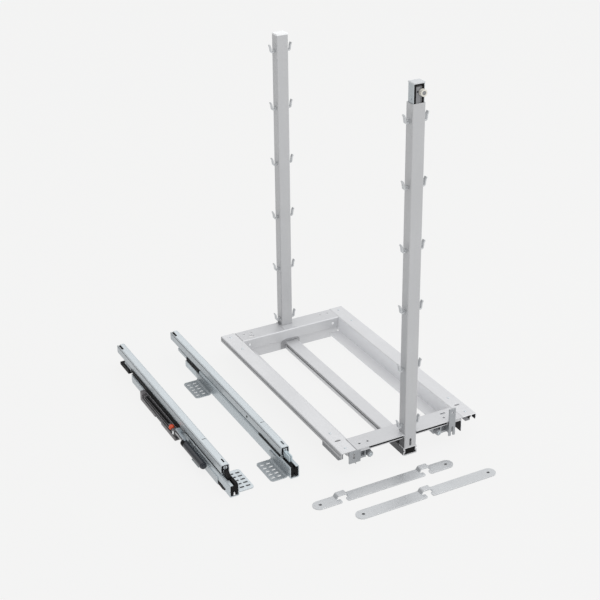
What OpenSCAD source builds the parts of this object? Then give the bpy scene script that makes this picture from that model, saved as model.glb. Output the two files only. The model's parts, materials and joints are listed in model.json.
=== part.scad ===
// Base-mounted pull-out pantry frame laid out as a kit: a floor frame with two hook uprights,
// a pair of full-extension runners and two connecting straps.
// X runs to the right, the front of the frame faces -Y, Z is up.
// The origin is on the floor, in the middle of the underside of the centre rail.

/* [Frame] */
// Overall width of the floor frame
frame_w = 286; // [240:1:420]
// Overall depth of the floor frame
frame_d = 500; // [440:1:560]
// Height of the frame's top faces above the floor
frame_h = 45; // [42:0.5:52]
// Thickness of the frame's sheet steel
sheet = 1.5; // [1.2:0.1:2]
// Width of a side rail's top flange
rail_flange_w = 31.5; // [29:0.5:36]
// Height of a side rail's web
rail_web_h = 32; // [28:0.5:34]
// Drop of a side rail's outer lip
rail_lip_h = 11; // [8:0.5:14]
// Width of a side rail's lower inward flange
rail_foot_w = 26; // [14:1:30]
// Depth of the front and rear crossmembers
cross_d = 41; // [38:1:50]
// Height of the rear crossmember's folded front web
cross_web_h = 23; // [18:1:26]
// Width of the centre rail
centre_w = 28; // [26.5:0.5:34]
// Height of the centre rail
centre_h = 16; // [14:0.5:19]

/* [Uprights] */
// Height of the upright tubes' top ends above the floor
upright_top = 664; // [620:1:900]
// Width of an upright tube across the frame
upright_w = 25; // [23:0.5:26]
// Depth of an upright tube along the frame
upright_d = 20.5; // [18:0.5:22]
// Wall of an upright tube
upright_wall = 1.5; // [1.2:0.1:2]
// Height of the lowest hook root above the floor
hook_first_z = 56; // [50:1:64]
// Vertical spacing of the hooks
hook_pitch = 114.7; // [90:0.1:118]
// Number of hooks on each side of an upright
hook_count = 6; // [3:1:7]
// Width of a hook's strip along the frame
hook_strip_w = 6; // [4.5:0.5:10]
// Thickness of a hook's strip
hook_t = 2.4; // [1.8:0.1:3]
// Outward reach of a hook's tip from the tube
hook_reach = 11; // [9.5:0.5:14]
// Height of a hook's tip above its lowest point
hook_rise = 16; // [13:0.5:20]

/* [Top guide] */
// Height that the top guide shows above its upright
guide_show = 33; // [30:0.5:40]
// Length of the top guide that stays inside its upright
guide_inside = 110; // [100:1:160]
// Upward travel of the top guide
guide_travel = 60; // [20:1:60]
// Radius of the guide roller
guide_roller_r = 6; // [5:0.1:6.5]
// Radius of the guide roller's bore
guide_bore_r = 2.05; // [1.8:0.05:2.4]

/* [Runners] */
// Length of a cabinet rail
cabinet_rail_l = 459; // [430:1:470]
// Length of an intermediate rail
middle_rail_l = 472; // [440:1:476]
// Length of a drawer rail
drawer_rail_l = 500; // [470:1:510]
// Distance of the cabinet rails' front ends in front of the frame's mid-depth
cabinet_front = 215; // [205:1:225]
// Setback of an intermediate rail's front end from its cabinet rail's
middle_setback = 35; // [30:1:40]
// Setback of a drawer rail's front end from its cabinet rail's
drawer_setback = 36; // [30:1:42]
// Travel of each of the two stages of a runner
stage_travel = 215; // [150:1:215]
// Overall height of a runner
runner_h = 44; // [43:0.5:50]
// Width of a cabinet rail
cabinet_rail_w = 18; // [17.5:0.1:20]
// Width of a drawer rail
drawer_rail_w = 16; // [15.5:0.1:17.5]
// Height of a cabinet rail
cabinet_rail_h = 24; // [22.5:0.5:26]
// Height of a drawer rail's side walls
drawer_rail_h = 18; // [17:0.5:20]
// Thickness of the runners' rolled steel
rail_t = 1.5; // [1.3:0.1:1.7]
// Radius of the bearing balls
ball_r = 2.2; // [2:0.05:2.3]
// Number of balls in one row of a cage
ball_count = 7; // [4:1:9]
// Length of a ball cage
cage_l = 200; // [160:1:220]
// Width of a foot plate beyond its rail
foot_w = 33; // [28:0.5:40]
// Length of a foot plate
foot_l = 64; // [60:1:76]
// Thickness of a foot plate
foot_t = 2; // [1.5:0.1:2.5]
// Number of slots in one row of a foot plate
foot_slots = 5; // [3:1:5]
// Length of a foot plate's slot
foot_slot_l = 9; // [7:0.5:10]
// Width of a foot plate's slot
foot_slot_w = 4.6; // [4:0.1:5.4]

/* [Soft closing unit] */
// Length of the damper housing
damper_l = 204; // [190:1:210]
// Width of the damper housing beside its rail
damper_w = 11; // [10:0.5:12]
// Height of the damper housing
damper_h = 17; // [15:0.5:18]
// Radius of the damper cylinder
cylinder_r = 6.6; // [5:0.1:6.8]
// Length of the damper cylinder
cylinder_l = 92; // [80:1:96]
// Travel of the soft closing catch
catch_travel = 40; // [20:1:40]
// Radius of the release knob
knob_r = 5.4; // [4.5:0.1:5.6]

/* [Front fittings] */
// Radius of an adjuster wheel
wheel_r = 5.8; // [5:0.1:6.5]
// Width of an adjuster wheel
wheel_w = 9; // [7:0.5:11]
// Radius of an adjuster wheel's pin
wheel_pin_r = 2.2; // [1.8:0.1:2.6]
// Thickness of the door brackets
bracket_t = 2.5; // [2:0.1:3]

/* [Straps] */
// Overall length of a connecting strap
strap_l = 283; // [260:1:320]
// Width of a connecting strap
strap_w = 24; // [20:0.5:28]
// Thickness of a connecting strap
strap_t = 2; // [1.5:0.1:2.5]
// Radius of the hole in a strap's end
strap_hole_r = 2.8; // [2:0.1:3.5]
// Clear height under a strap's raised loop
loop_rise = 6; // [5.5:0.5:8]
// Length of a strap's raised loop
loop_l = 32; // [30:1:40]

/* [Kit layout] */
// Distance of the left runner's centre from the frame's left side
left_runner_gap = 74.5; // [66:0.5:100]
// Distance between the centres of the two runners
runner_spacing = 117; // [110:1:150]
// Distance of the long-loop strap in front of the frame
strap_gap = 60; // [40:1:80]
// Distance between the centre lines of the two straps
strap_spacing = 58; // [45:1:80]

/* [Hidden] */

steel = [0.80, 0.81, 0.83];
zinc = [0.74, 0.77, 0.81];
black_plastic = [0.09, 0.09, 0.10];
grey_plastic = [0.42, 0.43, 0.46];
nylon = [0.90, 0.91, 0.91];

fine = 48;
small = 32;
eps = 0.01;
// Radial play of a wheel on its pin
play = 0.05;
// Gap between neighbouring moving surfaces
slip = 0.3;

half_w = frame_w / 2;
half_d = frame_d / 2;
inner_x = half_w - rail_flange_w;
bend = 1;
cross_web_y = half_d - cross_d;
web_step = 3;
tube_r = 2.2;
tube_in_r = 0.6;
rivet_x = half_w - rail_flange_w / 2;
rivet_head_r = 2.6;
rivet_shank_r = 1.8;
rivet_ends = [14, 69];

front_upright_y = -half_d + upright_d / 2;
rear_upright_y = half_d - upright_d / 2;
seat_gap = 0.25;

// Bends

function unit(v) = v / norm(v);
function left_of(v) = [-v[1], v[0]];
function turned(v, a) = [v[0] * cos(a) - v[1] * sin(a), v[0] * sin(a) + v[1] * cos(a)];

// Points with their normals round the corner b of the path a, b, c
function corner_nodes(a, b, c, r, n) =
    let (u = unit(b - a), v = unit(c - b), turn = atan2(u[0] * v[1] - u[1] * v[0], u * v),
         start = b - u * r * tan(abs(turn) / 2), centre = start + left_of(u) * r * sign(turn))
    [for (k = [0 : n]) let (m = turned(left_of(u), turn * k / n)) [centre - m * r * sign(turn), m]];

// Points with their normals along a path whose corners are rounded to radius r
function path_nodes(path, r, n) = let (last = len(path) - 1) concat(
    [[path[0], left_of(unit(path[1] - path[0]))]],
    [for (i = [1 : 1 : last - 1]) each corner_nodes(path[i - 1], path[i], path[i + 1], r, n)],
    [[path[last], left_of(unit(path[last] - path[last - 1]))]]);

// Outline of a strip of thickness t bent along a path, with inner bend radius r
function strip(path, t, r = bend, n = 4) = let (p = path_nodes(path, r + t / 2, n)) concat(
    [for (q = p) q[0] + q[1] * t / 2],
    [for (i = [len(p) - 1 : -1 : 0]) p[i][0] - p[i][1] * t / 2]);

// Extrusion of an X-Z outline from y0 to y1
module along_y(y0, y1) translate([0, y1, 0]) rotate([90, 0, 0]) linear_extrude(y1 - y0) children();

// Extrusion of a Y-Z outline from x0 to x1
module along_x(x0, x1) translate([x0, 0, 0]) rotate([90, 0, 90]) linear_extrude(x1 - x0) children();

module box(x0, x1, y0, y1, z0, z1) translate([x0, y0, z0]) cube([x1 - x0, y1 - y0, z1 - z0]);

module round_rect(w, h, r) {
    square([w - 2 * r, h], center = true);
    square([w, h - 2 * r], center = true);
    for (x = [-1, 1], y = [-1, 1])
        translate([x * (w / 2 - r), y * (h / 2 - r)]) circle(r, $fn = small);
}

// Slot outline of overall length l along X and width w
module slot_2d(l, w) {
    square([l - w, w], center = true);
    for (x = [-1, 1]) translate([x * (l - w) / 2, 0]) circle(w / 2, $fn = small);
}

module rod_y(x, z, y0, y1, r, fn = fine) translate([x, y1, z]) rotate([90, 0, 0]) cylinder(y1 - y0, r, r,
    $fn = fn);
module rod_x(y, z, x0, x1, r, fn = fine) translate([x0, y, z]) rotate([0, 90, 0]) cylinder(x1 - x0, r, r,
    $fn = fn);

// Side rails

rail_path = [
    [inner_x - rail_foot_w, frame_h - rail_web_h + sheet / 2],
    [inner_x + sheet / 2, frame_h - rail_web_h + sheet / 2],
    [inner_x + sheet / 2, frame_h - sheet / 2],
    [half_w - sheet / 2, frame_h - sheet / 2],
    [half_w - sheet / 2, frame_h - rail_lip_h]
];
foot_cut_y = cross_web_y - 4;
hook_tab_drop = 5;
hook_tab_x = half_w - 12;
rail_slot = [11, 4.5];

module side_rail() {
    difference() {
        along_y(-half_d, half_d) polygon(strip(rail_path, sheet));
        for (s = [-1, 1]) {
            // The lower flange stops short of the crossmembers
            translate([inner_x - rail_foot_w - 1, s > 0 ? foot_cut_y : -half_d - 1, 0])
                cube([rail_foot_w + 1, half_d - foot_cut_y + 1, frame_h - rail_web_h + sheet + bend + 1]);
            for (e = rivet_ends) translate([rivet_x, s * (half_d - e), frame_h - 2 * sheet])
                    cylinder(3 * sheet, rivet_shank_r, rivet_shank_r, $fn = small);
        }
        // Front end of the web is cut back behind the door bracket
        box(inner_x - 1, inner_x + sheet + bend, -half_d - 1, -half_d + bracket_t + bracket_gap, 0,
            plate_under);
        translate([rivet_x, -half_d + 41, frame_h - 2 * sheet]) linear_extrude(3 * sheet)
            slot_2d(rail_slot[0], rail_slot[1]);
    }
    // Short tab under the flange's front end
    box(hook_tab_x, hook_tab_x + sheet, -half_d, -half_d + 14, frame_h - sheet - hook_tab_drop,
        frame_h - sheet + eps);
}

module side_rail_left() color(steel) mirror([1, 0, 0]) side_rail();
module side_rail_right() color(steel) side_rail();

module rivet_head(x, y) {
    translate([x, y, frame_h]) cylinder(0.9, rivet_head_r, rivet_head_r * 0.7, $fn = small);
    translate([x, y, frame_h - sheet - 1.2]) cylinder(sheet + 1.2 + eps, rivet_shank_r, rivet_shank_r,
        $fn = small);
    translate([x, y, frame_h - sheet - 1.2]) cylinder(1.2, rivet_head_r, rivet_head_r, $fn = small);
}

module flange_rivets() color(zinc)
    for (sx = [-1, 1], sy = [-1, 1], e = rivet_ends) rivet_head(sx * rivet_x, sy * (half_d - e));

// Crossmembers

cross_hole_x = [inner_x - 13.5, inner_x - 30.5];
cross_hole_y = half_d - 15;
cross_hole_r = 2.2;
rear_lip_h = 8;
notch_w = upright_w + 2;
cross_slot_x = 87;
cross_slot = [11, 5];

// Clearance holes shared by both crossmembers
module cross_holes(sy) {
    for (sx = [-1, 1], x = cross_hole_x)
        translate([sx * x, sy * cross_hole_y, frame_h - 2 * sheet]) cylinder(3 * sheet, cross_hole_r,
            cross_hole_r, $fn = small);
    translate([-sy * cross_slot_x, sy * (half_d - 28), frame_h - 2 * sheet]) linear_extrude(3 * sheet)
        slot_2d(cross_slot[0], cross_slot[1]);
}

module rear_crossmember() color(steel) difference() {
    along_x(-inner_x, inner_x) polygon(strip([
        [half_d - sheet / 2, frame_h - rear_lip_h],
        [half_d - sheet / 2, frame_h - sheet / 2],
        [cross_web_y + sheet / 2, frame_h - sheet / 2],
        [cross_web_y + sheet / 2, frame_h - cross_web_h],
        [cross_web_y + sheet + web_step, frame_h - cross_web_h]
    ], sheet));
    cross_holes(1);
    // Opening through which the rear upright passes
    box(-notch_w / 2, notch_w / 2, cross_web_y + sheet + web_step + 2, half_d + 1, frame_h - rear_lip_h - 1,
        frame_h + 1);
    for (sx = [-1, 1]) rod_y(sx * web_hole_x, web_hole_z, cross_web_y - 1, cross_web_y + sheet + 1,
        web_hole_r, small);
}

web_hole_x = inner_x - 14;
web_hole_z = frame_h - 12;
web_hole_r = 3;
plate_y = cross_web_y + sheet + web_step;
plate_corner_r = 10;

module rear_web_plate() color(steel) difference() {
    along_y(plate_y, plate_y + sheet) difference() {
        union() {
            translate([-inner_x + plate_corner_r, 0]) square([2 * (inner_x - plate_corner_r), frame_h - sheet]);
            translate([-inner_x, plate_corner_r]) square([2 * inner_x, frame_h - sheet - plate_corner_r]);
            for (sx = [-1, 1]) translate([sx * (inner_x - plate_corner_r),
                plate_corner_r]) circle(plate_corner_r, $fn = fine);
        }
        for (sx = [-1, 1]) translate([sx * web_hole_x, web_hole_z]) circle(web_hole_r, $fn = small);
    }
}

stiffener_setback = 4;
stiffener_h = 8;

module front_crossmember() color(steel) difference() {
    union() {
        along_x(-inner_x, inner_x) polygon(strip([
            [-cross_web_y - sheet / 2, frame_h - rear_lip_h],
            [-cross_web_y - sheet / 2, frame_h - sheet / 2],
            [-half_d, frame_h - sheet / 2]
        ], sheet));
        along_x(-inner_x, inner_x) polygon(strip([
            [-half_d + stiffener_setback + sheet / 2, frame_h - sheet - stiffener_h],
            [-half_d + stiffener_setback + sheet / 2, frame_h - sheet * 1.5],
            [-half_d + stiffener_setback + 12, frame_h - sheet * 1.5]
        ], sheet));
    }
    cross_holes(-1);
    // Opening round the front upright
    box(-upright_w / 2 - seat_gap, upright_w / 2 + seat_gap, -half_d - 1, -half_d + upright_d + seat_gap,
        frame_h - stiffener_h - 3 * sheet, frame_h + 1);
}

// Centre rail with a rolled groove along each side

groove_d = 1.8;
groove_h = 4;
groove_z = centre_h * 0.6;

module centre_profile(inset) {
    w = centre_w / 2 - inset;
    difference() {
        translate([0, centre_h / 2]) round_rect(2 * w, centre_h - 2 * inset, 2 - inset);
        for (sx = [-1, 1]) translate([sx * w, groove_z]) square([2 * groove_d, groove_h + 2 * inset],
            center = true);
    }
}

module centre_rail() color(steel) along_y(-half_d, plate_y) difference() {
    centre_profile(0);
    centre_profile(sheet);
}

// Front fittings

wheel_left_x = -half_w + 61;
wheel_right_x = half_w - 80;
wheel_z = frame_h - 20.5;
wheel_y = -half_d + 3;
block_back_y = -half_d + 36;
plate_under = frame_h - sheet;

notch_r = 1;

module adjuster_wheel(x) difference() {
    rod_y(x, wheel_z, wheel_y, wheel_y + wheel_w, wheel_r);
    rod_y(x, wheel_z, wheel_y - 1, wheel_y + wheel_w + 1, wheel_pin_r + play);
    // Finger notches round the rim
    for (a = [0 : 36 : 324])
        translate([x + (wheel_r + 0.4) * cos(a), wheel_y + wheel_w + 1, wheel_z + (wheel_r + 0.4) * sin(a)])
            rotate([90, 0, 0]) cylinder(wheel_w + 2, notch_r, notch_r, $fn = 16);
}

module adjuster_wheel_left() color(zinc) adjuster_wheel(wheel_left_x);
module adjuster_wheel_right() color(zinc) adjuster_wheel(wheel_right_x);

pin_head_t = 1;

module adjuster_pins() color(zinc) for (x = [wheel_left_x, wheel_right_x]) {
    rod_y(x, wheel_z, wheel_y - slip, wheel_y + wheel_w + slip + 6, wheel_pin_r);
    difference() {
        rod_y(x, wheel_z, wheel_y - slip - pin_head_t, wheel_y - slip, wheel_pin_r + 1.2);
        rod_y(x, wheel_z, wheel_y - slip - pin_head_t - 1, wheel_y - slip - 0.3, 1.5, 6);
    }
}

// Die-cast block under the front crossmember that carries an adjuster pin
module adjuster_block(x0, x1, wx) difference() {
    union() {
        box(x0, x1, -half_d + 8, block_back_y, wheel_z - 6, plate_under - sheet);
        box(min(x0, wx - 6), max(x1, wx + 6), wheel_y + wheel_w + slip, block_back_y, wheel_z - 6,
            plate_under - sheet);
        box(min(x0, wx - 6), max(x1, wx + 6), block_back_y - 10, block_back_y, plate_under - sheet - eps,
            plate_under);
    }
    rod_y(wx, wheel_z, 0 - half_d, wheel_y + wheel_w + slip + 6, wheel_pin_r);
    box(x0 + 3, x1 - 3, -half_d + 7, -half_d + 14, wheel_z - 2, plate_under - 7);
}

module adjuster_block_left() color(grey_plastic)
    adjuster_block(wheel_left_x - 20, wheel_left_x - wheel_r - slip, wheel_left_x);
module adjuster_block_right() color(grey_plastic) {
    adjuster_block(wheel_right_x + wheel_r + slip, wheel_right_x + 26, wheel_right_x);
    box(bracket_right_x - bracket_right_w / 2, bracket_right_x + 2, -half_d, -half_d + 9, wheel_z - 4,
        plate_under - stiffener_h - slip);
}

bracket_left_x = -half_w + 27.5;
bracket_left_w = 23;
bracket_right_x = half_w - 54.8;
bracket_right_w = 13.5;
bracket_right_low = 14.5;
bracket_right_high = 70;
bracket_gap = 0.2;

// Low angle bracket for the left side of the door; its leaf lies under the side rail's flange
module door_bracket_left() color(steel) difference() {
    union() {
        box(bracket_left_x - bracket_left_w / 2, bracket_left_x + bracket_left_w / 2, -half_d,
            -half_d + bracket_t,
            frame_h - 26, plate_under);
        box(bracket_left_x - bracket_left_w / 2, -inner_x - sheet - bend - bracket_gap, -half_d, -half_d + 34,
            plate_under - bracket_t, plate_under);
    }
    translate([bracket_left_x - 2, -half_d + bracket_t + 1, frame_h - 12]) rotate([90, 90, 0])
        linear_extrude(bracket_t + 2) slot_2d(11, 4.4);
    for (e = [rivet_ends[0]]) translate([-rivet_x, -half_d + e, plate_under - 3]) cylinder(4, 3, 3,
        $fn = small);
}

// Tall bracket for the right side of the door
module door_bracket_right() color(steel) difference() {
    box(bracket_right_x - bracket_right_w / 2, bracket_right_x + bracket_right_w / 2,
        -half_d - bracket_t, -half_d, bracket_right_low, bracket_right_high);
    translate([bracket_right_x, -half_d + 1, bracket_right_low + 8]) rotate([90, 90, 0])
        linear_extrude(bracket_t + 2) slot_2d(22, 4.4);
    rod_y(bracket_right_x, bracket_right_high - 8, -half_d - bracket_t - 1, -half_d + 1, 2.2, small);
}

// Lock clips that hang under the side rails' flanges behind the front end

lock_y = [-half_d + 16, -half_d + 74];
lock_x = [half_w - sheet - 11, half_w - sheet - bend - 0.1];
lock_low = frame_h - 23;

module lock_clip() difference() {
    box(lock_x[0], lock_x[1], lock_y[0], lock_y[1], lock_low, plate_under);
    box(lock_x[0] + 2, lock_x[1] - 2, lock_y[0] + 3, lock_y[1] - 3, lock_low - 1, plate_under - 4);
    translate([0, lock_y[1], lock_low]) rotate([38, 0, 0]) box(lock_x[0] - 1, lock_x[1] + 1, -30, 30, -20, 0);
}

module lock_clip_left() color(grey_plastic) mirror([1, 0, 0]) lock_clip();
module lock_clip_right() color(grey_plastic) lock_clip();

// Uprights

module tube_2d(wall) difference() {
    round_rect(upright_w, upright_d, tube_r);
    round_rect(upright_w - 2 * wall, upright_d - 2 * wall, tube_in_r);
}

module rear_upright() color(steel) difference() {
    translate([0, rear_upright_y, 0]) linear_extrude(upright_top) tube_2d(upright_wall);
    rod_x(rear_upright_y, screw_z, -upright_w / 2 - 1, 0, screw_r, small);
}

screw_z = frame_h + 4;
screw_r = 2.5;

module rear_upright_screw() color(grey_plastic) {
    rod_x(rear_upright_y, screw_z, -upright_w / 2 - 0.5, 0, screw_r, small);
    difference() {
        rod_x(rear_upright_y, screw_z, -upright_w / 2 - 2.2, -upright_w / 2, 3.4, small);
        rod_x(rear_upright_y, screw_z, -upright_w / 2 - 3, -upright_w / 2 - 0.9, 1.4, 6);
    }
}

cap_t = 3;
cap_depth = 14;

module rear_upright_cap() color(nylon) {
    translate([0, rear_upright_y, upright_top]) linear_extrude(cap_t) round_rect(upright_w, upright_d, tube_r);
    translate([0, rear_upright_y, upright_top - cap_depth]) linear_extrude(cap_depth + eps)
        round_rect(upright_w - 2 * upright_wall, upright_d - 2 * upright_wall, tube_in_r);
}

// Steel seat that fills the space between the rear web plate and the rear upright
module rear_upright_seat() color(grey_plastic) difference() {
    box(-upright_w / 2 + 1, upright_w / 2 - 1, plate_y + sheet, half_d - upright_d, 4, frame_h - 5);
    box(-upright_w / 2 + 4, upright_w / 2 - 4, plate_y + sheet + 3, half_d - upright_d - 3, 7, frame_h);
}

module front_upright() color(steel) difference() {
    translate([0, front_upright_y, centre_h]) linear_extrude(upright_top - centre_h) tube_2d(upright_wall);
    translate([0, -half_d + upright_wall + 1, centre_h + 10]) rotate([90, 90, 0])
        linear_extrude(upright_wall + 2) slot_2d(15.5, 4.4);
}

seat_l = 40;

plug_back = 2;
plug_l = 12;

// Black socket under the front crossmember round the front upright's foot
module upright_socket() difference() {
    along_y(-half_d + stiffener_setback + sheet + 12, -half_d + seat_l) polygon(strip([
        [-upright_w / 2 - seat_gap - sheet / 2, centre_h],
        [-upright_w / 2 - seat_gap - sheet / 2, plate_under - sheet / 2],
        [upright_w / 2 + seat_gap + sheet / 2, plate_under - sheet / 2],
        [upright_w / 2 + seat_gap + sheet / 2, centre_h]
    ], sheet));
    box(-upright_w / 2 - seat_gap, upright_w / 2 + seat_gap, -half_d, -half_d + upright_d + seat_gap,
        centre_h - 1, frame_h);
    // Rear lip of the crossmember
    box(-upright_w, upright_w, -cross_web_y - sheet - bend - 0.2, -cross_web_y + 0.2,
        frame_h - rear_lip_h - 0.2, frame_h);
}

module front_upright_seat() color(black_plastic) {
    upright_socket();
    // Plug set back in the centre rail's front end
    along_y(-half_d + plug_back, -half_d + plug_back + plug_l) centre_profile(sheet + eps);
}

// Hook strip beside a tube wall at x = 0: welded leaf, outward run, rising tip
hook_path = [
    [hook_t / 2, 6],
    [hook_t / 2, hook_t / 2],
    [hook_reach - 3.5, hook_t / 2],
    [hook_reach - 2.2, hook_rise - 5],
    [hook_reach, hook_rise]
];

module hooks(y) color(zinc) for (side = [0, 1], k = [0 : hook_count - 1])
    mirror([side, 0, 0]) translate([upright_w / 2, y, hook_first_z + k * hook_pitch])
        along_y(-hook_strip_w / 2, hook_strip_w / 2) polygon(strip(hook_path, hook_t, 1.2, 5));

module rear_hooks() hooks(rear_upright_y);
module front_hooks() hooks(front_upright_y);

// Top guide that telescopes out of the front upright

guide_clear = 0.3;
guide_w = upright_w - 2 * upright_wall - 2 * guide_clear;
guide_d = upright_d - 2 * upright_wall - 2 * guide_clear;
guide_t = 1.2;
guide_low = upright_top - guide_inside;
guide_high = upright_top + guide_show;
guide_front_y = front_upright_y - guide_d / 2;
liner_t = 1.6;
block_w = 10.5;
block_x = -guide_w / 2 + guide_t + liner_t;
roller_x = 5;
roller_z = upright_top + 18;
roller_len = 7;
rivet_z = upright_top + 8;
rivet_r = 2;
guide_hole_z = upright_top + 19;
guide_hole_r = 1.7;
liner_low = guide_low + 40;
block_low = liner_low + 5;
block_high = guide_high - 6;
roller_y = guide_front_y - slip - roller_len;

module guide_channel() color(zinc) difference() {
    channel_body();
    rod_x(front_upright_y, rivet_z, -guide_w, 0, rivet_r, small);
}

module channel_body() translate([0, front_upright_y, guide_low]) linear_extrude(guide_high - guide_low)
    polygon(strip([
        [-guide_w / 2 + guide_t / 2, -guide_d / 2],
        [-guide_w / 2 + guide_t / 2, guide_d / 2 - guide_t / 2],
        [guide_w / 2 - guide_t / 2, guide_d / 2 - guide_t / 2],
        [guide_w / 2 - guide_t / 2, -guide_d / 2]
    ], guide_t, 0.6));

module guide_liner() color(black_plastic) difference() {
    union() {
        box(-guide_w / 2 + guide_t, guide_w / 2 - guide_t, guide_front_y,
            front_upright_y + guide_d / 2 - guide_t - 0.6,
            liner_low, guide_high);
        box(-guide_w / 2, guide_w / 2, guide_front_y - 1.2, front_upright_y + guide_d / 2, guide_high,
            guide_high + 2);
    }
    box(-guide_w / 2 + guide_t + liner_t, guide_w / 2 - guide_t - liner_t, guide_front_y - 2,
        front_upright_y + guide_d / 2 - guide_t - liner_t, liner_low - 1, guide_high - 3);
    rod_x(front_upright_y, rivet_z, -guide_w, 0, rivet_r, small);
}

module guide_block() color(grey_plastic) difference() {
    union() {
        box(block_x, block_x + block_w, guide_front_y + 0.5, front_upright_y + 4, block_low, block_high);
        box(block_x, guide_w / 2 - guide_t - liner_t, guide_front_y + 3, front_upright_y + 4, block_low,
            block_high);
    }
    rod_y(block_x + block_w / 2, guide_hole_z, guide_front_y - 1, guide_front_y + 8, guide_hole_r, small);
    rod_y(roller_x, roller_z, guide_front_y, guide_front_y + 10, guide_bore_r - play);
    rod_x(front_upright_y, rivet_z, -guide_w, block_x + 4, rivet_r, small);
}

module guide_roller() color(nylon) difference() {
    rod_y(roller_x, roller_z, roller_y, roller_y + roller_len, guide_roller_r);
    rod_y(roller_x, roller_z, roller_y - 1, roller_y + roller_len + 1, guide_bore_r);
    // Recess round the pin's head
    rod_y(roller_x, roller_z, roller_y - 1, roller_y + 1.5, guide_bore_r + 1.6);
}

module guide_pin() color(grey_plastic) {
    rod_y(roller_x, roller_z, roller_y + 0.3, guide_front_y + 10, guide_bore_r - play);
    rod_y(roller_x, roller_z, roller_y + 0.2, roller_y + 1.5 - slip, guide_bore_r + 1.2);
}

module guide_rivet() color(zinc) {
    rod_x(front_upright_y, rivet_z, -guide_w / 2 - 0.5, block_x + 4, rivet_r, small);
    rod_x(front_upright_y, rivet_z, -guide_w / 2 - 1, -guide_w / 2, 3.4, small);
}

// Connecting straps

loop_foot = 4;
loop_ramp = 8;
loop_gap = loop_l - 2 * loop_foot - 3;
loop_place = 0.297;

// Strap centred on the origin of its own frame, with raised loops centred at the given places
module strap(loops) {
    lane = strap_w / 2;
    difference() {
        union() {
            linear_extrude(strap_t) slot_2d(strap_l, strap_w);
            // Raised rear half of each loop
            for (x = loops) along_y(0, lane) polygon(strip([
                [x - loop_l / 2, strap_t / 2],
                [x - loop_l / 2 + loop_foot, strap_t / 2],
                [x - loop_l / 2 + loop_ramp, loop_rise + strap_t / 2],
                [x + loop_l / 2 - loop_ramp, loop_rise + strap_t / 2],
                [x + loop_l / 2 - loop_foot, strap_t / 2],
                [x + loop_l / 2, strap_t / 2]
            ], strap_t, 1.5));
        }
        for (sx = [-1, 1]) translate([sx * (strap_l / 2 - 14), 0, -1]) cylinder(strap_t + 2, strap_hole_r,
            strap_hole_r, $fn = small);
        // The bar is cut away under each loop and in front of it
        for (x = loops) {
            box(x - loop_gap / 2, x + loop_gap / 2, -eps, lane + 1, -1, strap_t + eps);
            box(x - loop_gap / 2, x + loop_gap / 2, -lane - 1, eps, -1, strap_t + loop_rise + 2);
        }
    }
}

strap_twin_x = -half_w + 52;
strap_single_x = -half_w + 103;
strap_twin_y = -half_d - strap_gap;

module twin_loop_strap() color(zinc) translate([strap_twin_x, strap_twin_y, 0])
    strap([-strap_l * loop_place, strap_l * loop_place]);
module single_loop_strap() color(zinc) translate([strap_single_x, strap_twin_y - strap_spacing, 0]) strap([0]);

// Runners, each modelled with its centre plane at x = 0 and its feet on the +X side

left_x = -half_w - left_runner_gap;
right_x = left_x - runner_spacing;

cabinet_rear = cabinet_rail_l - cabinet_front;
middle_front = -cabinet_front + middle_setback;
middle_rear = middle_front + middle_rail_l;
drawer_front = -cabinet_front + drawer_setback;
drawer_rear = drawer_front + drawer_rail_l;

ball_slip = 0.2;
lower_ball_x = cabinet_rail_w / 2 - rail_t - ball_r + 0.3;
upper_ball_x = drawer_rail_w / 2 - rail_t - ball_r + 0.5;
lower_ball_z = cabinet_rail_h / 2 - 1;
drawer_low = runner_h - drawer_rail_h;
upper_ball_z = runner_h - drawer_rail_h / 2;
lower_head = lower_ball_x - 1.4;
upper_head = upper_ball_x - 1.4;
lower_head_z = [rail_t + 2.1, cabinet_rail_h - rail_t - 3];
upper_head_z = [drawer_low + rail_t + 1.5, runner_h - rail_t - 2];
middle_web = 3.4;
lip = 3;
cage_t = 1;
cage_front = -50;
row_step = (cage_l - 16) / (ball_count - 1);

module at_left() translate([left_x, 0, 0]) mirror([1, 0, 0]) children();
module at_right() translate([right_x, 0, 0]) children();

module grooves(bx, bz) for (sx = [-1, 1]) translate([sx * bx, bz]) circle(ball_r + ball_slip, $fn = fine);

wall_hole_y = cabinet_rear - 68;
wall_hole_z = 8;
// Rear part of the side walls is lower and has no lips
low_wall_l = 69;
low_wall_h = cabinet_rail_h - 9;
// Front part where one lip is cut away and the other one is wider
front_lip_l = 36;
front_tongue_l = 17;
tongue_x = -middle_web / 2 - 0.6;
rail_slot_z = 6;

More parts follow.
